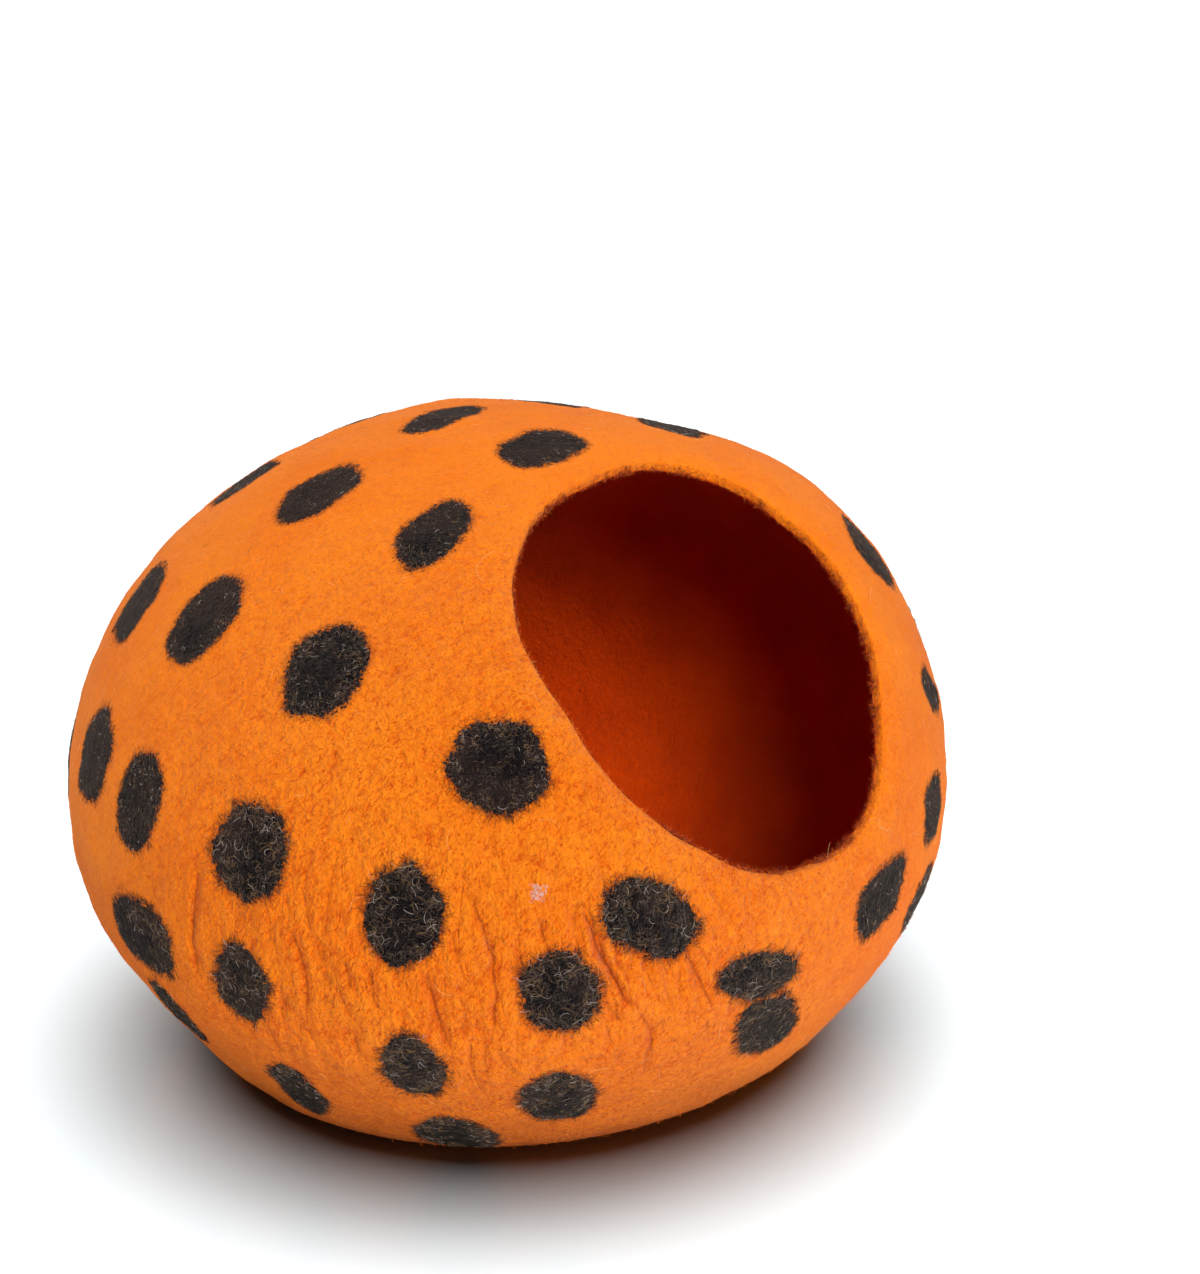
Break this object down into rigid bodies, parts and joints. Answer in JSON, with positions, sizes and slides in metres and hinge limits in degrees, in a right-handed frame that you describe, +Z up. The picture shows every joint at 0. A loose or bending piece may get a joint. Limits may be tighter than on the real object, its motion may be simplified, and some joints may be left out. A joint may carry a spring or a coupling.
{
  "type": "felt cat cave",
  "caption": "Seamless rounded cave of thick wool felt for a cat, wider than deep, resting on a flattened underside, with a large rounded mouth at the front and top.",
  "frame": {"origin": "on the floor, under the middle of the body's box", "axes": "+Z up from the floor, -Y the way the mouth faces, +X across the body's width"},
  "size_m": [0.4294, 0.4004, 0.3045],
  "materials": {
    "orange_felt": "matt, thick, wet-felted wool with a short fuzz; round dark wool spots felted in flush",
    "dark_wool": "matt, loose curly fibres of the dark wool in the spots and round their edges",
    "pale_wool": "matt, loose pale kemp fibres in the dark wool"
  },
  "bodies": {
    "root": {"felt_shell": "orange_felt"}
  },
  "joints": []
}
